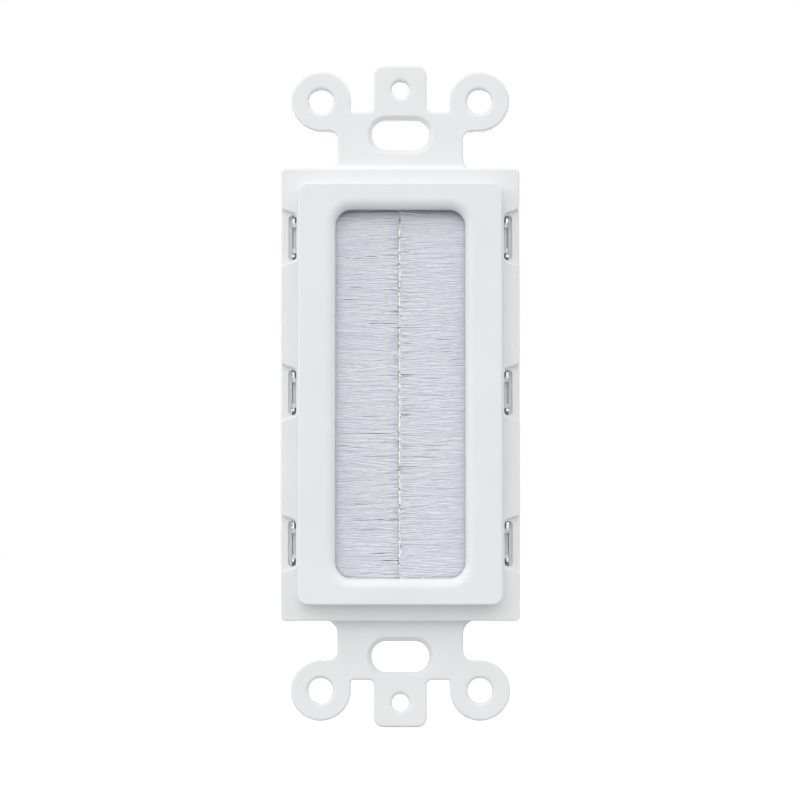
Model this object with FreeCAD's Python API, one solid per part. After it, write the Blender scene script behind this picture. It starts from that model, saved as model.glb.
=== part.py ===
import FreeCAD, Part
import math
import os

from FreeCAD import Vector

# Brush wall plate insert, in millimetres.
# X runs across, Z runs up, and the front faces -Y. The origin is the middle of the plane that lies on the
# wall. A depth in this file is a distance forward from that plane, so a depth of d lies at y = -d.

# Depths, stacked from the wall plane to the front
retainer_setback = 0.2       # wall plane to the back of the rear retainer
ring_thickness = 1.4         # the retainer's ring
ledge_thickness = 0.6        # frame wall that each snap hook grips
hook_pocket = 0.95           # from that wall's face up to the recess floor
recess_depth = 0.85          # from the recess floor up to the flange's face
pad_height = 0.6             # how far the retainer's pad stands up from its ring
bristle_thickness = 1.4      # a bank's thickness where the channel grips it
channel_wall = 0.45          # folded steel strip
front_wall = 2.4             # bezel wall in front of the brushes
strap_thickness = 2.0

# Widths, stacked from the middle outwards
opening_width = 20.4
mouth_cover = 0.8            # how far a channel's mouth hides behind the opening's edge
channel_reach = 3.2          # a channel from its mouth to its folded back
brush_clearance = 0.1        # from a channel to the bezel's inner side wall
bezel_wall = 1.64            # the bezel's side wall
snap_gap = 0.41              # flange left between the bezel and a snap slot
snap_width = 1.29            # a snap slot's width
edge_land = 1.14             # from a snap slot to the flange's outer edge
skirt = 1.0                  # flange wall round the retainer
retainer_clearance = 0.1     # round the retainer's ring and its pad
pad_overhang = 1.4           # the retainer's opening inside the channels' mouths, at each side

# Heights, stacked from the middle up and mirrored down
opening_height = 57.9
end_cover = 2.05             # how far a brush runs past the opening's end
end_clearance = 0.4          # from a brush to the bezel's inner end wall
bezel_end_wall = 1.65
pad_end_lap = 3.5            # how far the retainer's pad laps over the brushes' ends
flange_border = 2.56         # flange beyond the bezel's end
neck_gap = 3.235             # flange end to the mounting slot
slot_height = 4.71
slot_land = 1.345            # mounting slot to the floor of the notches beside the tab
ear_rise = 1.62              # notch floor to an ear's centre
tab_hole_rise = 3.52         # notch floor to the centre of the tab's hole
tab_margin = 3.86            # the tab's hole to the tab's end

# Strap ends
slot_length = 8.95
slot_end_flat = 0.25         # straight stretch between the corners at each end of the slot
tab_width = 8.34
tab_corner = 1.5
tab_hole_radius = 1.3
notch_width = 3.58
notch_corner_tab = 0.8
notch_corner_ear = 0.4
ear_hole_radius = 1.9
ear_rim = 2.87
neck_inset = 2.57            # an ear's centre to the neck's side
neck_corner = 1.4
flare_radius = 2.1           # where the neck's sides run out into the flange
flare_sink = 0.1             # how far that curve runs on below the flange's end wall
cove_radius = 0.9            # hollow between the neck's face and the flange's end wall

# Edge and corner rounding
strap_edge = 0.4
hole_edge = 0.65
slot_bevel = 0.72            # sloping rim round the mounting slot
bevel_edge = 0.25            # rounding where that rim meets the strap's face
flange_corner = 0.8
flange_edge = 0.3
bezel_corner = 1.6
bezel_edge = 0.3
opening_corner = 2.6
opening_edge = 1.6
well_corner = 1.0
retainer_edge = 0.6
least_land = 0.05            # flat that a rounding leaves of the wall that limits it

# Snap recesses, slots and hooks, three down each side
snap_top_margin = 10.9       # flange end to the middle of the top snap
snap_bottom_margin = 12.1    # flange end to the middle of the bottom snap
snap_middle_lift = 0.25      # middle snap above the frame's middle
recess_length = 8.9          # along the flange's outer edge
recess_taper = 0.78          # how much nearer the middle each end is at the inner wall
recess_outer_corner = 0.7
recess_inner_corner = 0.65
snap_length = 7.1
snap_through = 0.7           # part of the slot's width that goes right through
hook_length = 4.75
hook_inner_clearance = 0.05
hook_outer_clearance = 0.1
hook_bite = 0.1              # how far the barbs lap over the ledge
hook_seat_clearance = 0.02
hook_drop = 0.3              # the hook's face between its barbs, below the ledge's face
barb_length = 0.7            # one barb at each end of a hook
barb_drop = 0.6              # barb's tip below the recess floor
barb_nose = 0.15             # upright part of the barb's edge, below its slope
notch_step = 0.15            # how far each relief notch starts inside the hook's outer face
notch_overrun = 1.1          # relief notch past each end of a hook
web_thickness = 0.4          # ring left at the bottom of the notches round a hook
vent_width = 0.26            # see-through opening in that web, at each end of a hook
vent_height_above = 1.0
vent_height_below = 0.45
vent_land = 0.02             # from the vent to the line of the ledge's edge

# Brushes
wire_radius = 0.4
packing_clearance = 0.03     # round the bristles' roots, in the channel and round the wire
bank_inset = 0.2             # bank shorter than its channel, at each end
ridge_pitch = 0.5            # one clump of filaments
ridge_depth = 0.28
ridge_drop = 0.02            # clump's crest below the packed roots' face
root_cover = 0.4             # packed roots standing out of the channel's mouth
tip_gap = 0.06               # from the middle of the opening to the longest tip
tip_scatter = 0.3            # longest tip to shortest
fast_wave = 1.9              # radians from one ridge line to the next, for the tips' scatter
slow_wave = 0.23

# Levels and places that follow from them
ring_face = retainer_setback + ring_thickness
ledge_face = ring_face + ledge_thickness
recess_floor = ledge_face + hook_pocket
flange_face = recess_floor + recess_depth
channel_back = ring_face + pad_height
channel_depth = bristle_thickness + 2 * channel_wall
wall_inside = channel_back + channel_depth
bezel_face = wall_inside + front_wall
brush_middle = channel_back + channel_depth / 2

mouth_x = opening_width / 2 + mouth_cover
channel_x = mouth_x + channel_reach
cavity_x = channel_x + brush_clearance
bezel_x = cavity_x + bezel_wall
snap_x = bezel_x + snap_gap
snap_outer_x = snap_x + snap_width
flange_x = snap_outer_x + edge_land
well_x = flange_x - skirt

brush_z = opening_height / 2 + end_cover
cavity_z = brush_z + end_clearance
cavity_corner = brush_clearance + end_clearance
bezel_z = cavity_z + bezel_end_wall
flange_z = bezel_z + flange_border
well_z = flange_z - skirt
slot_z = flange_z + neck_gap + slot_height / 2
notch_z = slot_z + slot_height / 2 + slot_land
ear_z = notch_z + ear_rise
tab_hole_z = notch_z + tab_hole_rise
tab_z = tab_hole_z + tab_margin

slot_corner = (slot_height - slot_end_flat) / 2
ear_radius = ear_hole_radius + ear_rim
ear_x = tab_width / 2 + notch_width + ear_radius
neck_x = ear_x - neck_inset
snap_heights = (flange_z - snap_top_margin, snap_middle_lift, snap_bottom_margin - flange_z)


def flat_point(x, z):
    """A point of a flat outline, drawn on the wall plane."""
    return Vector(x, 0, z)


def rounded_path(corners, closed):
    """Edges through corners given as (x, z, radius), each rounded by an arc that meets its two lines."""
    places = [flat_point(x, z) for x, z, _ in corners]
    entries = []
    exits = []
    arcs = []
    for i, (x, z, radius) in enumerate(corners):
        here = places[i]
        if radius == 0 or (not closed and i in (0, len(corners) - 1)):
            entries.append(here)
            exits.append(here)
            arcs.append(None)
            continue
        to_last = (places[i - 1] - here).normalize()
        to_next = (places[(i + 1) % len(places)] - here).normalize()
        half_angle = to_last.getAngle(to_next) / 2
        reach = radius / math.tan(half_angle)
        inward = (to_last + to_next).normalize()
        nearest = radius / math.sin(half_angle) - radius
        entries.append(here + to_last * reach)
        exits.append(here + to_next * reach)
        arcs.append(here + inward * nearest)
    edges = []
    for i in range(len(corners)):
        if arcs[i] is not None:
            edges.append(Part.Arc(entries[i], arcs[i], exits[i]).toShape())
        following = (i + 1) % len(corners)
        if following == 0 and not closed:
            break
        edges.append(Part.makeLine(exits[i], entries[following]))
    return edges


def rectangle(half_width, half_height, corner):
    """Corners of an upright rectangle about the middle, going round from its top right."""
    signs = ((1, 1), (1, -1), (-1, -1), (-1, 1))
    return [(sx * half_width, sz * half_height, corner) for sx, sz in signs]


def prism(edges, back, front):
    """The flat outline made of these edges, as a solid between two depths."""
    outline = Part.Wire(Part.sortEdges(edges)[0])
    face = Part.Face(outline)
    face.translate(Vector(0, -back, 0))
    return face.extrude(Vector(0, back - front, 0))


def block(half_width, half_height, corner, back, front):
    """A rounded rectangular block between two depths."""
    return prism(rounded_path(rectangle(half_width, half_height, corner), True), back, front)


def edges_at(shape, depth, half_width=None, half_height=None, centre_z=0):
    """Edges of a shape that lie in one depth plane, and inside a rectangle where one is given."""
    found = []
    for edge in shape.Edges:
        box = edge.BoundBox
        flat = abs(box.YMin + depth) < 1e-5 and abs(box.YMax + depth) < 1e-5
        inside = half_width is None or (
            max(abs(box.XMin), abs(box.XMax)) < half_width
            and max(abs(box.ZMin - centre_z), abs(box.ZMax - centre_z)) < half_height
        )
        if flat and inside:
            found.append(edge)
    return found


def round_hole(x, z, radius, edge_radius, thickness):
    """Cutter for a round hole through a plate, its front edge rounded over."""
    beyond = thickness + radius
    corner = Vector(radius, -(thickness - edge_radius), 0)
    turn = edge_radius * math.sqrt(0.5)
    middle = Vector(radius + edge_radius - turn, -(thickness - edge_radius) - turn, 0)
    mouth = Vector(radius + edge_radius, -thickness, 0)
    profile = [
        Part.makeLine(Vector(0, radius, 0), Vector(radius, radius, 0)),
        Part.makeLine(Vector(radius, radius, 0), corner),
        Part.Arc(corner, middle, mouth).toShape(),
        Part.makeLine(mouth, Vector(radius + edge_radius, -beyond, 0)),
        Part.makeLine(Vector(radius + edge_radius, -beyond, 0), Vector(0, -beyond, 0)),
        Part.makeLine(Vector(0, -beyond, 0), Vector(0, radius, 0)),
    ]
    cutter = Part.Face(Part.Wire(profile)).revolve(Vector(0, 0, 0), Vector(0, 1, 0), 360)
    cutter.translate(flat_point(x, z))
    return cutter


def strap_half_outline():
    """Right half of the top strap end: tab, notch, ear and neck, down into the flange."""
    ear_side = ear_x - ear_radius
    flare_z = flange_z - flare_sink
    root_x = neck_x + flare_radius + skirt
    tab_side = [
        (0, tab_z, 0),
        (tab_width / 2, tab_z, tab_corner),
        (tab_width / 2, notch_z, notch_corner_tab),
        (ear_side, notch_z, notch_corner_ear),
        (ear_side, ear_z, 0),
    ]
    neck_side = [
        (ear_x, ear_z - ear_radius, 0),
        (neck_x, ear_z - ear_radius, neck_corner),
        (neck_x, flare_z, flare_radius),
        (root_x, flare_z, 0),
        (root_x, well_z - skirt, 0),
        (0, well_z - skirt, 0),
    ]
    slant = ear_radius * math.sqrt(0.5)
    ear = Part.Arc(
        flat_point(ear_side, ear_z),
        flat_point(ear_x + slant, ear_z + slant),
        flat_point(ear_x, ear_z - ear_radius),
    ).toShape()
    return rounded_path(tab_side, False) + [ear] + rounded_path(neck_side, False)


def slot_rim(plate, reach):
    """Edges of the strap's face round the mounting slot, no further than this outside it."""
    return edges_at(plate, strap_thickness, slot_length / 2 + reach, slot_height / 2 + reach, slot_z)


def strap_end():
    """Top end of the mounting strap, with its holes and its oblong slot."""
    right = strap_half_outline()
    left = [edge.mirror(Vector(0, 0, 0), Vector(1, 0, 0)) for edge in right]
    plate = prism(right + left, 0, strap_thickness)
    front_edges = [e for e in edges_at(plate, strap_thickness) if e.BoundBox.ZMax > flange_z]
    plate = plate.makeFillet(strap_edge, front_edges)
    slot = block(slot_length / 2, slot_height / 2, slot_corner, -1, strap_thickness + 1)
    slot.translate(flat_point(0, slot_z))
    plate = plate.cut(slot)
    bevel = min(slot_bevel, slot_land - strap_edge - least_land)
    plate = plate.makeChamfer(bevel, slot_rim(plate, least_land))
    plate = plate.makeFillet(bevel_edge, slot_rim(plate, bevel + least_land))
    for x in (-ear_x, ear_x):
        plate = plate.cut(round_hole(x, ear_z, ear_hole_radius, hole_edge, strap_thickness))
    return plate.cut(round_hole(0, tab_hole_z, tab_hole_radius, hole_edge, strap_thickness))


def neck_cove():
    """Hollow curve between the neck's face and the flange's top wall, kept on the neck's flat face."""
    inner_z = flange_z - skirt / 2
    top_z = flange_z + cove_radius
    turn = cove_radius * (1 - math.sqrt(0.5))
    half = neck_x + flare_radius

    def point(depth, z):
        return Vector(-half, -depth, z)

    rise = strap_thickness + cove_radius
    profile = [
        Part.makeLine(point(strap_thickness / 2, inner_z), point(strap_thickness / 2, top_z)),
        Part.makeLine(point(strap_thickness / 2, top_z), point(strap_thickness, top_z)),
        Part.Arc(
            point(strap_thickness, top_z),
            point(strap_thickness + turn, flange_z + turn),
            point(rise, flange_z),
        ).toShape(),
        Part.makeLine(point(rise, flange_z), point(rise, inner_z)),
        Part.makeLine(point(rise, inner_z), point(strap_thickness / 2, inner_z)),
    ]
    cove = Part.Face(Part.Wire(profile)).extrude(Vector(2 * half, 0, 0))
    right = strap_half_outline()
    left = [edge.mirror(Vector(0, 0, 0), Vector(1, 0, 0)) for edge in right]
    outline = Part.Face(Part.Wire(Part.sortEdges(right + left)[0]))
    flat_area = outline.makeOffset2D(-strap_edge)
    return cove.common(flat_area.extrude(Vector(0, -2 * rise, 0)))


def recessed_outline():
    """Corners of the flange's face, with the snap recesses biting in from both sides."""
    inner = recess_length / 2 - recess_taper
    right = []
    for z in sorted(snap_heights, reverse=True):
        right += [
            (flange_x, z + recess_length / 2, recess_outer_corner),
            (snap_x, z + inner, recess_inner_corner),
            (snap_x, z - inner, recess_inner_corner),
            (flange_x, z - recess_length / 2, recess_outer_corner),
        ]
    top = (flange_x, flange_z, flange_corner)
    bottom = (flange_x, -flange_z, flange_corner)
    right = [top] + right + [bottom]
    left = [(-x, z, radius) for x, z, radius in reversed(right)]
    return right + left


def snap_slot(side, z):
    """Cutter for one stepped snap slot: an open pocket, with its inner part going right through."""
    middle = snap_x + snap_width / 2
    pocket = block(snap_width / 2, snap_length / 2, snap_width / 2 - least_land, ledge_face, flange_face)
    through = block(snap_width / 2, snap_length / 2, snap_width / 2 - least_land, 0, flange_face)
    ledge = Part.makeBox(snap_width, flange_face, snap_length)
    ledge.translate(Vector(snap_through - snap_width / 2, -flange_face, -snap_length / 2))
    cutter = pocket.fuse(through.cut(ledge))
    if side < 0:
        cutter = cutter.mirror(Vector(0, 0, 0), Vector(1, 0, 0))
    cutter.translate(flat_point(side * middle, z))
    return cutter


def front_frame():
    """The white moulding: strap ends, stepped flange and the bezel round the opening."""
    lower = block(flange_x, flange_z, flange_corner, 0, recess_floor)
    lower = lower.makeFillet(flange_edge, edges_at(lower, recess_floor))
    upper = prism(rounded_path(recessed_outline(), True), ledge_face, flange_face)
    upper = upper.makeFillet(flange_edge, edges_at(upper, flange_face))
    bezel = block(bezel_x, bezel_z, bezel_corner, recess_floor, bezel_face)
    bezel = bezel.makeFillet(bezel_edge, edges_at(bezel, bezel_face))
    bezel = bezel.cut(block(opening_width / 2, opening_height / 2, opening_corner, 0, 2 * bezel_face))
    rim_x = opening_width / 2 + least_land
    rim_z = opening_height / 2 + least_land
    opening_round = min(opening_edge, front_wall - least_land)
    bezel = bezel.makeFillet(opening_round, edges_at(bezel, bezel_face, rim_x, rim_z))
    pieces = [upper, bezel]
    for end in (strap_end(), neck_cove()):
        pieces.append(end)
        pieces.append(end.mirror(Vector(0, 0, 0), Vector(0, 0, 1)))
    body = lower.fuse(pieces)
    cutters = [
        block(well_x, well_z, well_corner, -1, ring_face),
        block(cavity_x, cavity_z, cavity_corner, -1, wall_inside),
    ]
    for side in (-1, 1):
        cutters += [snap_slot(side, z) for z in snap_heights]
    return body.cut(cutters).removeSplitter()


def hook_piece(profile, length, middle_z):
    """A stretch of a snap hook, from its outline in X and depth."""
    points = [Vector(x, -depth, middle_z - length / 2) for x, depth in profile]
    face = Part.Face(Part.makePolygon(points + points[:1]))
    return face.extrude(Vector(0, 0, length))


def snap_hook(side, z):
    """One snap arm rising from the retainer's ring through the frame's slot, with a barb at each end."""
    inner = snap_x + hook_inner_clearance
    outer = snap_x + snap_through - hook_outer_clearance
    nose = snap_x + snap_through + hook_bite
    seat = ledge_face + hook_seat_clearance
    tip = recess_floor - barb_drop
    face = ledge_face - hook_drop
    arm = [(inner, retainer_setback), (outer, retainer_setback), (outer, face), (inner, face)]
    barb = arm[:2] + [(outer, seat), (nose, seat), (nose, seat + barb_nose), (outer, tip), (inner, tip)]
    end = (hook_length - barb_length) / 2
    hook = hook_piece(arm, hook_length - barb_length, z)
    hook = hook.fuse([hook_piece(barb, barb_length, z - end), hook_piece(barb, barb_length, z + end)])
    return hook if side > 0 else mirrored(hook)


def snap_relief(side, z):
    """Cutters in the ring round one snap arm: a blind notch on three sides, and a vent at each end."""
    outer_x = snap_x + snap_through - hook_outer_clearance - notch_step
    vent_x = snap_x + snap_through - vent_land - vent_width
    web_face = retainer_setback + web_thickness
    depth = ring_face - web_face
    notch = Part.makeBox(flange_x, depth, hook_length)
    notch.translate(Vector(outer_x, -ring_face, z - hook_length / 2))
    cutters = [notch]
    for end, vent_height in ((-1, vent_height_below), (1, vent_height_above)):
        pocket = Part.makeBox(snap_through, depth, notch_overrun)
        pocket_z = z + end * (hook_length + notch_overrun) / 2
        pocket.translate(Vector(snap_x, -ring_face, pocket_z - notch_overrun / 2))
        vent = Part.makeBox(vent_width, ring_face + 1, vent_height)
        vent_z = z + end * (hook_length + vent_height) / 2
        vent.translate(Vector(vent_x, -ring_face, vent_z - vent_height / 2))
        cutters += [pocket, vent]
    return [cutter if side > 0 else mirrored(cutter) for cutter in cutters]


def rear_retainer():
    """The ring that snaps in from behind, with the pad that presses both brushes forward."""
    opening_x = mouth_x - pad_overhang
    opening_z = brush_z - pad_end_lap
    ring_x = well_x - retainer_clearance
    ring_z = well_z - retainer_clearance
    pad_x = cavity_x - retainer_clearance
    pad_z = cavity_z - retainer_clearance
    body = block(ring_x, ring_z, well_corner, retainer_setback, ring_face)
    pad = block(pad_x, pad_z, cavity_corner, retainer_setback, channel_back)
    body = body.fuse(pad)
    body = body.cut(block(opening_x, opening_z, opening_corner, -1, 2 * channel_back)).removeSplitter()
    rim = edges_at(body, retainer_setback, opening_x + least_land, opening_z + least_land)
    body = body.makeFillet(min(retainer_edge, ring_thickness - least_land), rim)
    hooks = []
    notches = []
    for side in (-1, 1):
        for z in snap_heights:
            notches += snap_relief(side, z)
            hooks.append(snap_hook(side, z))
    return body.cut(notches).fuse(hooks).removeSplitter()


def strip_section(mouth, radius, middle_x):
    """Outline in X and depth of a strip that is open towards the middle and round at its back."""
    low = brush_middle - radius
    high = brush_middle + radius
    return [
        Part.makeLine(Vector(mouth, -low, 0), Vector(middle_x, -low, 0)),
        Part.Arc(
            Vector(middle_x, -low, 0),
            Vector(middle_x + radius, -brush_middle, 0),
            Vector(middle_x, -high, 0),
        ).toShape(),
        Part.makeLine(Vector(middle_x, -high, 0), Vector(mouth, -high, 0)),
        Part.makeLine(Vector(mouth, -high, 0), Vector(mouth, -low, 0)),
    ]


def upright(edges, half_length):
    """An outline in X and depth, as a solid running up and down the frame."""
    face = Part.Face(Part.Wire(edges))
    face.translate(Vector(0, 0, -half_length))
    return face.extrude(Vector(0, 0, 2 * half_length))


def brush_channel():
    """Steel strip folded round the roots of the right bank."""
    fold_x = channel_x - channel_depth / 2
    outside = upright(strip_section(mouth_x, channel_depth / 2, fold_x), brush_z)
    inside = upright(strip_section(mouth_x - 1, bristle_thickness / 2, fold_x), brush_z + 1)
    return outside.cut(inside)


def core_wire(radius, half_length):
    """Wire that the right bank's filaments are folded round."""
    fold_x = channel_x - channel_depth / 2
    return Part.makeCylinder(radius, 2 * half_length, Vector(fold_x, -brush_middle, -half_length))


def ridge_lines(phase):
    """(height, half thickness, tip) of every crest and valley line of a bank, from its bottom up."""
    half_length = brush_z - bank_inset
    count = 2 * round(2 * half_length / ridge_pitch)
    crest = bristle_thickness / 2 - packing_clearance - ridge_drop
    lines = []
    for i in range(count + 1):
        height = half_length * (2 * i / count - 1)
        half_thickness = crest if i % 2 else crest - ridge_depth
        scatter = (2 + math.sin(fast_wave * i + phase) + math.sin(slow_wave * i - phase)) / 4
        lines.append((height, half_thickness, tip_gap + tip_scatter * scatter))
    return lines


def bristle_bank(phase):
    """Right bank as one ridged solid: packed roots round the wire, and clumps that end unevenly."""
    root_x = mouth_x + root_cover
    front_tips = []
    back_tips = []
    front_roots = []
    back_roots = []
    for height, half_thickness, tip in ridge_lines(phase):
        front = -brush_middle - half_thickness
        back = -brush_middle + half_thickness
        front_tips.append(Vector(tip, front, height))
        back_tips.append(Vector(tip, back, height))
        front_roots.append(Vector(root_x, front, height))
        back_roots.append(Vector(root_x, back, height))
    last = len(front_tips) - 1
    loops = [front_roots + back_roots[::-1]]
    for i in range(last):
        loops.append([front_roots[i], front_tips[i], front_tips[i + 1], front_roots[i + 1]])
        loops.append([back_roots[i], back_tips[i], back_tips[i + 1], back_roots[i + 1]])
        loops.append([front_tips[i], back_tips[i], back_tips[i + 1], front_tips[i + 1]])
    for i in (0, last):
        loops.append([front_roots[i], front_tips[i], back_tips[i], back_roots[i]])
    faces = [Part.Face(Part.makePolygon(loop + loop[:1])) for loop in loops]
    clumps = Part.Solid(Part.Shell(faces))
    fold_x = channel_x - channel_depth / 2
    packed_radius = bristle_thickness / 2 - packing_clearance
    section = strip_section(mouth_x - root_cover, packed_radius, fold_x)
    half_length = brush_z - bank_inset
    roots = upright(section, half_length + least_land)
    bank = roots.fuse(clumps)
    return bank.cut(core_wire(wire_radius + packing_clearance, half_length + 1))


def mirrored(shape):
    """The same piece on the left side."""
    return shape.mirror(Vector(0, 0, 0), Vector(1, 0, 0))


def save(name, shape):
    """Writes one piece, as a single closed solid, under its node's name."""
    solid = shape.Solids[0]
    if len(shape.Solids) != 1 or not solid.isValid():
        raise ValueError(name + " is not one valid solid")
    solid.exportStep(os.path.join("parts", name + ".step"))


def main():
    os.makedirs("parts", exist_ok=True)
    save("front_frame", front_frame())
    save("rear_retainer", rear_retainer())
    save("brush_channel_right", brush_channel())
    save("brush_channel_left", mirrored(brush_channel()))
    save("core_wire_right", core_wire(wire_radius, brush_z))
    save("core_wire_left", mirrored(core_wire(wire_radius, brush_z)))
    save("bristle_bank_right", bristle_bank(0))
    save("bristle_bank_left", mirrored(bristle_bank(math.pi / 2)))


main()
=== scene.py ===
import math
import bpy
import numpy as np
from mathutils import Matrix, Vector


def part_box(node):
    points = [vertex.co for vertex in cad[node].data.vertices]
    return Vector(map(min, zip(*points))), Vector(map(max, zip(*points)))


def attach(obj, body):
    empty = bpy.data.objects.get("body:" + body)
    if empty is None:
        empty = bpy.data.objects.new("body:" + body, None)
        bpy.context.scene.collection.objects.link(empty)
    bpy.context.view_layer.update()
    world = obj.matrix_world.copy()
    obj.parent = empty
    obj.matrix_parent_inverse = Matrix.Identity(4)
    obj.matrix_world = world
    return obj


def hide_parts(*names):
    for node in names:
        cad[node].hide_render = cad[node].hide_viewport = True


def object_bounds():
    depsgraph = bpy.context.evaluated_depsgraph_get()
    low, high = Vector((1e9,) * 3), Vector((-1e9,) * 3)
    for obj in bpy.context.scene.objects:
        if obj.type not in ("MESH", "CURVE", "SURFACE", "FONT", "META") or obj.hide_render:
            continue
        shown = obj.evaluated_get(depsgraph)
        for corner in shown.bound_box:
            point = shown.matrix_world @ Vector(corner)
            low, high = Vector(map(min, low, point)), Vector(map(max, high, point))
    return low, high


# A white wall plate insert whose cable opening is closed by two banks of bristles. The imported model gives
# every plastic and steel piece. This script gives them their finish, and builds the filaments.

MM = 0.001
WHITE = (1, 1, 1, 1)

# Camera: square on, from a little below the middle, tilted up by about three degrees. Places are in metres,
# the lens and the sensor in millimetres
CAMERA_PLACE = Vector((-0.00005, -0.4569, -0.0234))
CAMERA_TARGET = Vector((-0.00005, -0.002, -0.00087))
CAMERA_LENS = 129.93
CAMERA_SENSOR = 36
CAMERA_NEAREST = 0.01

# Finishes: pale colour, dark colour, roughness, and for the mouldings how strong their grain is
HOUSING = ((0.83, 0.835, 0.85), (0.81, 0.815, 0.83), 0.36, 0.12)
RETAINER = ((0.80, 0.805, 0.82), (0.77, 0.775, 0.79), 0.45, 0.2)
STRIP = ((0.66, 0.67, 0.68), (0.52, 0.53, 0.54), 0.34)
WIRE = ((0.60, 0.60, 0.60), (0.50, 0.50, 0.50), 0.28)
FILAMENT_PALE = (0.80, 0.815, 0.855)
FILAMENT_DARK = (0.67, 0.70, 0.775)
FILAMENT_ROUGHNESS = (0.32, 0.5)
FILAMENT_IOR = 1.5
# cut ends: whiter partly for the pale look of cut nylon, partly as a painted highlight of the light they
# catch along the seam
CUT_PALE = (0.94, 0.945, 0.95)
CUT_DARK = (0.86, 0.87, 0.89)
CUT_ROUGHNESS = 0.6

# Noise in those finishes: size of its blotches in metres, and detail
PLASTIC_TONE = (9 * MM, 3.0)
PLASTIC_SHEEN = (1.6 * MM, 4.0)
PLASTIC_GRAIN = (0.22 * MM, 3.0)
PLASTIC_WAVES = (5 * MM, 1.0)
STEEL_LINES = (0.08 * MM, 4.0)
# the painted glints along each filament
FILAMENT_GLINTS = (0.3 * MM, 2.0)
CUT_SPECKLE = (0.1 * MM, 2.0)

# How the noise is laid on
USUAL_NOISE = (0.3, 0.7)               # nearly all values of a noise lie between these
SPANGLE_SIZE = 1.4 * MM
SPANGLE_RANGE = (0.1, 0.7)             # distances within a spangle cell that turn dark and pale
ALONG_THE_STRIP = (1, 1, 0.03)         # squeezed coordinates, which stretch the lines along Z
ALONG_A_FILAMENT = (0.25, 1, 1)        # and the painted glints along X
PLASTIC_SWING = (-0.04, 0.04)          # how far the roughness swings from its stated value
STEEL_SWING = (-0.08, 0.1)
GRAIN_HEIGHT = 0.01 * MM
WAVES_HEIGHT = 0.06 * MM
WAVES_STRENGTH = 0.25
LINES_HEIGHT = 0.01 * MM
LINES_STRENGTH = 0.3
FLATNESS = 0.5                         # share of flat shading: clear filaments look less round than rods
ISLAND_SHARE = 0.35                    # how much of a filament's colour is its own, against the painted glints along it

# Banks of filaments. All lengths are in millimetres
LEFT = -1
RIGHT = 1
BANKS = ((LEFT, "left", 11), (RIGHT, "right", 23))       # side, name, seed of its random draws
FILAMENT_RADIUS = 0.13
FILAMENT_RADIUS_SPREAD = 0.006
FILAMENT_SIDES = 4
FREE_RINGS = (0.0, 0.18, 0.36, 0.54, 0.72, 0.88, 1.0)    # shares of the free length
WIRE_CLEARANCE = 0.06                                    # from the wire's face to the nearest root's centre

# Where the filaments are rooted
LAYERS = 8
FILAMENT_SPACING = 0.15      # from one filament to the next in a layer
ROOT_PLACE = (0.2, 0.8)      # how far along its own step each one stands, as shares of the step
LAYER_JITTER = 0.02
SKIN = 9                     # how strongly the layers crowd towards the bank's two faces
BODY_SHARE = 0.93            # how much of the bank's thickness the ordinary filaments take
HIDDEN_END = 1.9             # length of a bank behind the frame's top wall
TOP_RECESS = 1.2             # how far the bank's front falls back just below that wall
TOP_RECESS_RUN = 2.4         # the height over which it does

# How they lie
CLUMP_WAVES = ((2.3, 0.25), (3.9, 0.35), (6.7, 0.5), (12.1, 0.7))   # (wavelength, degrees of slope)
SLOPE_SPREAD = 2.0           # degrees, from one filament to the next
WILD_SLOPE_SPREAD = 5.5      # degrees, for the few that lie across the others, on the bank's two faces
WILD_SHARE = 0.1
BEND_SPREAD = 0.14           # bow of a filament between its root and its tip
WAVE_SPREAD = 0.035          # unevenness from ring to ring, up or down
DEPTH_WAVE_SPREAD = 0.02     # and in depth

# Where they end
TIP_REACH = {LEFT: (0.26, 0.48), RIGHT: (0.03, 0.26)}    # nearest and furthest tip from the middle
TIP_LEAN = {LEFT: -0.05, RIGHT: 0.12}                    # how far tips lean to the front, back if negative
TIP_LEAN_SPREAD = 0.08
TIP_LEAN_START = 0.84                                    # share of the free length where they begin to lean
CUT_SLANT = {LEFT: 0.3, RIGHT: 0.8}                      # how slanted cut ends are: shift along X for depth
STRAY_SHARE = 0.007
STRAY_REACH = (0.2, 0.7)                                 # how far past the others the stray ones reach
SEAM_ENDS = (26.9, 27.7)                                 # the heights between which the banks close up
SEAM_ENDS_REACH = 0.2                                    # and by how much each does
# Waves that run along the seam: (wavelength, reach to either side, phase in radians)
SEAM_WAVES = ((0.43, 0.04, 0.4), (0.97, 0.06, 2.1), (2.6, 0.05, 5.2), (7.0, 0.03, 3.3))

# Studio
WORLD_FRONT = 1.25            # light from the front half of the surroundings
WORLD_BACK = 0.08             # light from behind the object
WORLD_TURN = (-0.02, 0.22)    # where one becomes the other, as shares of straight back
FLOOR_DROP = 0.4 * MM         # from the object's lowest point
FLOOR_HALF = 4.0              # half its width, in metres
FLOOR_CORNERS = ((-1, -1), (1, -1), (1, 1), (-1, 1))
FLOOR_GLOW = 0.75             # what it adds to its own colour where it is seen or mirrored
FLOOR_GREY = 0.55
FLOOR_ROUGHNESS = 0.9
# Lamps: name, place in metres, width and height in metres, power in watts
LAMPS = (
    ("high_key", (-0.253, -0.777, 0.736), (0.5, 0.4), 0.9),
    ("left_fill", (-0.9, -0.1, 0.2), (0.6, 0.8), 1.85),
    ("behind", (0.0, 1.0, 0.12), (0.5, 0.5), 6.0),
)


def link_object(name, data):
    """A new object in the scene's collection."""
    made = bpy.data.objects.new(name, data)
    bpy.context.scene.collection.objects.link(made)
    return made


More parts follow.
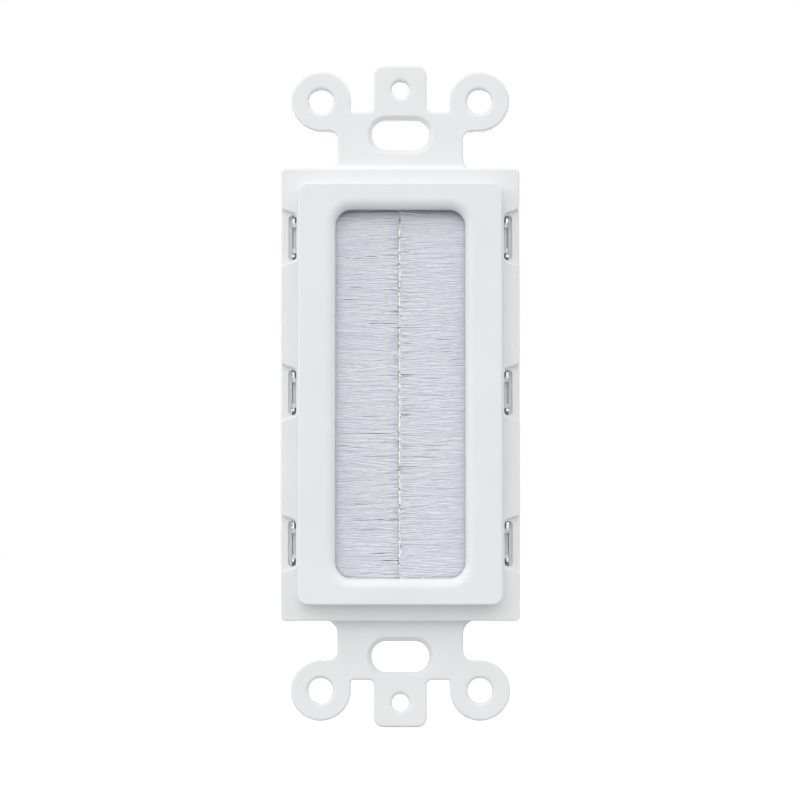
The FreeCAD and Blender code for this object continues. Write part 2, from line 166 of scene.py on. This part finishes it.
class Nodes:
    """The node tree of a material or of the world, under construction."""

    def __init__(self, tree):
        self.tree = tree

    def node(self, kind, **settings):
        """A new node of this kind, with these settings."""
        made = self.tree.nodes.new(kind)
        for name, value in settings.items():
            setattr(made, name, value)
        return made

    def join(self, source, target):
        """Links an output to an input."""
        self.tree.links.new(source, target)

    def spread(self, source, low, high, usual=USUAL_NOISE, **settings):
        """The source, stretched so that its usual range becomes low to high."""
        ranged = self.node("ShaderNodeMapRange", **settings)
        ranged.inputs["From Min"].default_value, ranged.inputs["From Max"].default_value = usual
        ranged.inputs["To Min"].default_value = low
        ranged.inputs["To Max"].default_value = high
        self.join(source, ranged.inputs["Value"])
        return ranged.outputs["Result"]

    def seen_ray(self):
        """1 for rays that show the surroundings: seen directly, mirrored or through something clear."""
        path = self.node("ShaderNodeLightPath")
        total = path.outputs["Is Camera Ray"]
        for name in ("Is Glossy Ray", "Is Transmission Ray"):
            larger = self.node("ShaderNodeMath", operation="MAXIMUM")
            self.join(total, larger.inputs[0])
            self.join(path.outputs[name], larger.inputs[1])
            total = larger.outputs["Value"]
        return total


class Shader(Nodes):
    """A material under construction, with its main shader."""

    def __init__(self, name):
        self.material = bpy.data.materials.new(name)
        self.material.use_nodes = True
        super().__init__(self.material.node_tree)
        self.main = self.tree.nodes["Principled BSDF"]

    def place(self, stretch=(1, 1, 1)):
        """Object coordinates, squeezed along each axis by these factors."""
        coordinates = self.node("ShaderNodeTexCoord")
        mapping = self.node("ShaderNodeMapping")
        mapping.inputs["Scale"].default_value = stretch
        self.join(coordinates.outputs["Object"], mapping.inputs["Vector"])
        return mapping.outputs["Vector"]

    def noise(self, place, size, detail):
        """Noise between 0 and 1 whose blotches are about this many metres across."""
        texture = self.node("ShaderNodeTexNoise")
        texture.inputs["Scale"].default_value = 1 / size
        texture.inputs["Detail"].default_value = detail
        self.join(place, texture.inputs["Vector"])
        return texture.outputs["Fac"]

    def paint(self, factor, dark, pale):
        """Colours the main shader, from dark to pale as the factor goes from 0 to 1."""
        mixed = self.node("ShaderNodeMix", data_type="RGBA")
        self.join(factor, mixed.inputs["Factor"])
        mixed.inputs["A"].default_value = (*dark, 1)
        mixed.inputs["B"].default_value = (*pale, 1)
        self.join(mixed.outputs["Result"], self.main.inputs["Base Color"])

    def roughen(self, source, low, high):
        """Gives the main shader a roughness that follows the source."""
        self.join(self.spread(source, low, high), self.main.inputs["Roughness"])

    def bumps(self, rows):
        """Bumps laid one over another, from rows of (source, strength, height)."""
        last = None
        for source, strength, height in rows:
            bump = self.node("ShaderNodeBump")
            bump.inputs["Strength"].default_value = strength
            bump.inputs["Distance"].default_value = height
            self.join(source, bump.inputs["Height"])
            if last is not None:
                self.join(last, bump.inputs["Normal"])
            last = bump.outputs["Normal"]
        self.join(last, self.main.inputs["Normal"])


def moulded_plastic(name, pale, dark, roughness, grain):
    """Satin white moulding: fine grain, slow waviness, and slightly uneven colour and sheen."""
    shader = Shader(name)
    place = shader.place()
    shader.paint(shader.spread(shader.noise(place, *PLASTIC_TONE), 0, 1), dark, pale)
    smoothest, roughest = (roughness + swing for swing in PLASTIC_SWING)
    shader.roughen(shader.noise(place, *PLASTIC_SHEEN), smoothest, roughest)
    fine = shader.noise(place, *PLASTIC_GRAIN)
    slow = shader.noise(place, *PLASTIC_WAVES)
    shader.bumps(((fine, grain, GRAIN_HEIGHT), (slow, WAVES_STRENGTH, WAVES_HEIGHT)))
    return shader.material


def plated_steel(name, pale, dark, roughness):
    """Zinc-plated steel: metal with fine lines along its length and faint spangle."""
    shader = Shader(name)
    shader.main.inputs["Metallic"].default_value = 1.0
    lines = shader.noise(shader.place(ALONG_THE_STRIP), *STEEL_LINES)
    cells = shader.node("ShaderNodeTexVoronoi")
    cells.inputs["Scale"].default_value = 1 / SPANGLE_SIZE
    shader.join(shader.place(), cells.inputs["Vector"])
    shader.paint(shader.spread(cells.outputs["Distance"], 0, 1, SPANGLE_RANGE), dark, pale)
    smoothest, roughest = (roughness + swing for swing in STEEL_SWING)
    shader.roughen(lines, smoothest, roughest)
    shader.bumps(((lines, LINES_STRENGTH, LINES_HEIGHT),))
    return shader.material


def clear_filament(name):
    """Clear white nylon: each filament has its own colour, with painted glints that come and go along it,
    and a roughness that follows them.
    """
    shader = Shader(name)
    shader.main.inputs["IOR"].default_value = FILAMENT_IOR
    surface = shader.node("ShaderNodeNewGeometry")
    glint_streaks = shader.noise(shader.place(ALONG_A_FILAMENT), *FILAMENT_GLINTS)
    both = shader.node("ShaderNodeMath", operation="MULTIPLY_ADD")
    both.inputs[1].default_value = ISLAND_SHARE
    shader.join(surface.outputs["Random Per Island"], both.inputs[0])
    shader.join(glint_streaks, both.inputs[2])
    usual_low, usual_high = USUAL_NOISE
    # the filament's own colour, with painted glints laid over it
    colour_and_painted_glints = shader.spread(both.outputs["Value"], 0, 1, (usual_low, usual_high + ISLAND_SHARE))
    shader.paint(colour_and_painted_glints, FILAMENT_DARK, FILAMENT_PALE)
    shader.roughen(glint_streaks, *FILAMENT_ROUGHNESS)
    facing = shader.node("ShaderNodeMix", data_type="VECTOR")
    facing.inputs["Factor"].default_value = FLATNESS
    shader.join(surface.outputs["Normal"], facing.inputs["A"])
    shader.join(surface.outputs["True Normal"], facing.inputs["B"])
    even = shader.node("ShaderNodeVectorMath", operation="NORMALIZE")
    shader.join(facing.outputs["Result"], even.inputs[0])
    shader.join(even.outputs["Vector"], shader.main.inputs["Normal"])
    return shader.material


def cut_end(name):
    """The cut ends of the filaments, which are rougher than their sides, and whiter: partly the pale look
    of cut nylon and partly a painted highlight of the light they catch along the seam.
    """
    shader = Shader(name)
    speckle = shader.noise(shader.place(), *CUT_SPECKLE)
    shader.paint(shader.spread(speckle, 0, 1), CUT_DARK, CUT_PALE)
    shader.main.inputs["Roughness"].default_value = CUT_ROUGHNESS
    return shader.material


def dress(material, *solids):
    """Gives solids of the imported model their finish."""
    for solid in solids:
        solid.data.materials.clear()
        solid.data.materials.append(material)


class Bank:
    """Where one bank lies, in millimetres, from its own solid and those of its channel and wire."""

    def __init__(self, side, word):
        low, high = (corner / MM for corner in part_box("bristle_bank_" + word))
        channel_low, channel_high = (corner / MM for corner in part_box("brush_channel_" + word))
        wire_low, wire_high = (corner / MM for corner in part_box("core_wire_" + word))
        self.side = side
        self.bottom = low.z
        self.top = high.z
        self.mouth = min(abs(channel_low.x), abs(channel_high.x))
        self.wire = abs(wire_low.x + wire_high.x) / 2
        self.wire_side = (wire_high.y - wire_low.y) / 2 + WIRE_CLEARANCE
        self.middle = (low.y + high.y) / 2
        self.half_thickness = (high.y - low.y) / 2 - FILAMENT_RADIUS


def filament_roots(rng, bank):
    """Each filament's layer, its height up the bank, and its depth from the bank's middle."""
    per_layer = int((bank.top - bank.bottom) / FILAMENT_SPACING)
    layer = np.repeat(np.arange(LAYERS), per_layer)
    step = np.tile(np.arange(per_layer), LAYERS) + rng.uniform(*ROOT_PLACE, layer.size)
    height = bank.bottom + step * (bank.top - bank.bottom) / per_layer
    half = bank.half_thickness
    level = 2 * (layer + 0.5) / LAYERS - 1
    level = np.copysign(1 - (1 - np.abs(level)) ** SKIN, level)
    depth = np.clip(half * level + rng.normal(0, LAYER_JITTER, layer.size), -half, half)
    fall_start = bank.top - HIDDEN_END - TOP_RECESS_RUN
    fall = np.clip((height - fall_start) / TOP_RECESS_RUN, 0, 1) ** 2
    depth += TOP_RECESS * fall * (half - depth) / (2 * half)
    return layer, height, depth


def filament_slopes(rng, layer, height):
    """Each filament's slope in radians, mostly shared within a clump, and whether it lies wild."""
    slope = np.zeros_like(height)
    for wavelength, degrees in CLUMP_WAVES:
        shift = rng.uniform(0, 2 * math.pi, LAYERS)[layer]
        slope += math.radians(degrees) * np.sin(2 * math.pi * height / wavelength + shift)
    wild = rng.random(height.size) < WILD_SHARE
    spread = np.radians(np.where(wild, WILD_SLOPE_SPREAD, SLOPE_SPREAD))
    slope += spread * rng.normal(0, 1, height.size)
    return slope, wild


def filament_tips(rng, side, height):
    """How far from the middle of the opening each filament ends."""
    count = height.size
    stray = rng.random(count) < STRAY_SHARE
    tip = rng.uniform(*TIP_REACH[side], count) - stray * rng.uniform(*STRAY_REACH, count)
    for wavelength, reach, shift in SEAM_WAVES:
        tip += side * reach * np.sin(2 * math.pi * height / wavelength + shift)
    return tip - SEAM_ENDS_REACH * np.interp(np.abs(height), SEAM_ENDS, (0, 1))


def filament_lines(rng, bank):
    """Points along every filament of one bank, in millimetres, from beside its wire to its cut tip."""
    layer, height, depth = filament_roots(rng, bank)
    slope, wild = filament_slopes(rng, layer, height)
    half = bank.half_thickness
    depth = np.where(wild, np.copysign(half, depth), depth * BODY_SHARE)
    bend = rng.normal(0, BEND_SPREAD, height.size)
    tip = filament_tips(rng, bank.side, height)
    lean = rng.normal(TIP_LEAN[bank.side], TIP_LEAN_SPREAD, height.size)

    share = np.array(FREE_RINGS)
    past_mouth = share > 0
    x = bank.mouth + (tip[:, None] - bank.mouth) * share
    z = height[:, None] + slope[:, None] * (bank.mouth - x) + bend[:, None] * np.sin(math.pi * share)
    z += rng.normal(0, WAVE_SPREAD, z.shape) * past_mouth
    rise = np.interp(share, (TIP_LEAN_START, 1), (0, 1))
    y = bank.middle + depth[:, None] - lean[:, None] * rise
    y += rng.normal(0, DEPTH_WAVE_SPREAD, y.shape) * past_mouth

    beside_wire = bank.wire_side + (half - bank.wire_side) * np.abs(depth) / half
    x = np.column_stack([np.full(height.size, bank.wire), x])
    y = np.column_stack([bank.middle + np.copysign(beside_wire, depth), y])
    z = np.column_stack([height, z])
    return np.stack([bank.side * x, y, z], axis=-1)


def filament_mesh(name, lines, radii, side):
    """Thin tubes along the lines, closed at both ends. Their slanted tip faces take the second material."""
    count, rings, _ = lines.shape
    turn = 2 * math.pi * (np.arange(FILAMENT_SIDES) + 0.5) / FILAMENT_SIDES
    ring = np.stack([np.zeros_like(turn), np.cos(turn), side * np.sin(turn)], axis=-1)
    points = lines[:, :, None, :] + radii[:, None, None, None] * ring
    points[:, -1, :, 0] -= side * CUT_SLANT[side] * (points[:, -1, :, 1] - lines[:, -1, 1, None])
    index = np.arange(count * rings * FILAMENT_SIDES).reshape(count, rings, FILAMENT_SIDES)
    near = index[:, :-1]
    far = index[:, 1:]
    walls = np.stack([near, far, np.roll(far, -1, axis=2), np.roll(near, -1, axis=2)], axis=-1)
    walls = walls.reshape(-1, 4).tolist()
    root_faces = index[:, 0].tolist()
    tip_faces = index[:, -1, ::-1].tolist()
    mesh = bpy.data.meshes.new(name)
    mesh.from_pydata((points * MM).reshape(-1, 3).tolist(), [], walls + root_faces + tip_faces)
    face = np.arange(len(mesh.polygons))
    mesh.polygons.foreach_set("use_smooth", face < len(walls))
    mesh.polygons.foreach_set("material_index", (face >= len(walls) + count).astype(np.int32))
    mesh.update()
    return mesh


def bristle_bank(side, word, seed, materials):
    """One bank of separate filaments in place of its ridged solid. Materials are for sides and cut ends."""
    rng = np.random.default_rng(seed)
    name = "filaments_" + word
    lines = filament_lines(rng, Bank(side, word))
    radii = rng.normal(FILAMENT_RADIUS, FILAMENT_RADIUS_SPREAD, len(lines))
    bank = link_object(name, filament_mesh(name, lines, radii, side))
    for material in materials:
        bank.data.materials.append(material)
    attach(bank, "root")
    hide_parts("bristle_bank_" + word)


def white_world():
    """A world that looks white, and lights the object more softly than it looks, least from behind."""
    world = bpy.data.worlds.new("studio")
    world.use_nodes = True
    nodes = Nodes(world.node_tree)
    background = nodes.tree.nodes["Background"]
    direction = nodes.node("ShaderNodeTexCoord")
    parts = nodes.node("ShaderNodeSeparateXYZ")
    nodes.join(direction.outputs["Generated"], parts.inputs["Vector"])
    ambient = nodes.spread(
        parts.outputs["Y"], WORLD_FRONT, WORLD_BACK, WORLD_TURN, interpolation_type="SMOOTHSTEP")
    level = nodes.node("ShaderNodeMix")
    nodes.join(nodes.seen_ray(), level.inputs["Factor"])
    nodes.join(ambient, level.inputs["A"])
    level.inputs["B"].default_value = 1.0
    nodes.join(level.outputs["Result"], background.inputs["Strength"])
    background.inputs["Color"].default_value = WHITE
    bpy.context.scene.world = world


def pale_floor(lowest):
    """A wide plain floor just below the object, which looks white and keeps a faint shadow."""
    mesh = bpy.data.meshes.new("floor")
    height = lowest - FLOOR_DROP
    corners = [(x * FLOOR_HALF, y * FLOOR_HALF, height) for x, y in FLOOR_CORNERS]
    mesh.from_pydata(corners, [], [(0, 1, 2, 3)])
    floor = link_object("floor", mesh)
    shader = Shader("floor")
    shader.main.inputs["Base Color"].default_value = (FLOOR_GREY, FLOOR_GREY, FLOOR_GREY, 1)
    shader.main.inputs["Roughness"].default_value = FLOOR_ROUGHNESS
    shader.main.inputs["Specular IOR Level"].default_value = 0.0
    shader.main.inputs["Emission Color"].default_value = WHITE
    glow = shader.spread(shader.seen_ray(), 0, FLOOR_GLOW, (0, 1))
    shader.join(glow, shader.main.inputs["Emission Strength"])
    mesh.materials.append(shader.material)


def soft_lamps():
    """The studio's soft lamps, each turned to the middle of the object."""
    for name, place, (width, height), power in LAMPS:
        data = bpy.data.lights.new(name, "AREA")
        data.shape = "RECTANGLE"
        data.size = width
        data.size_y = height
        data.energy = power
        lamp = link_object(name, data)
        lamp.location = place
        lamp.rotation_euler = (-Vector(place)).to_track_quat("-Z", "Y").to_euler()


def add_camera():
    """The camera, square on and a little low."""
    data = bpy.data.cameras.new("camera")
    data.lens = CAMERA_LENS
    data.sensor_width = CAMERA_SENSOR
    data.clip_start = CAMERA_NEAREST
    camera = link_object("camera", data)
    camera.location = CAMERA_PLACE
    camera.rotation_euler = (CAMERA_TARGET - CAMERA_PLACE).to_track_quat("-Z", "Y").to_euler()
    bpy.context.scene.camera = camera


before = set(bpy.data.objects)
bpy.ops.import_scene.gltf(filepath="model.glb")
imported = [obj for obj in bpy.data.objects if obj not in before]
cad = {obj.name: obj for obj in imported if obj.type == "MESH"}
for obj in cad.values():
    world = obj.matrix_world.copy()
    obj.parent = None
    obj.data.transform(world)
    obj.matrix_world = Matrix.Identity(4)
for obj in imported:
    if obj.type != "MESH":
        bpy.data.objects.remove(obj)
cad_low, cad_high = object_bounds()

dress(moulded_plastic("housing", *HOUSING), cad["front_frame"])
dress(moulded_plastic("retainer", *RETAINER), cad["rear_retainer"])
dress(plated_steel("strip", *STRIP), cad["brush_channel_left"], cad["brush_channel_right"])
dress(plated_steel("wire", *WIRE), cad["core_wire_left"], cad["core_wire_right"])
nylon = (clear_filament("filament"), cut_end("filament_cut"))
for side, word, seed in BANKS:
    bristle_bank(side, word, seed, nylon)

white_world()
pale_floor(cad_low.z)
soft_lamps()
add_camera()
bpy.context.scene.view_settings.view_transform = "Standard"
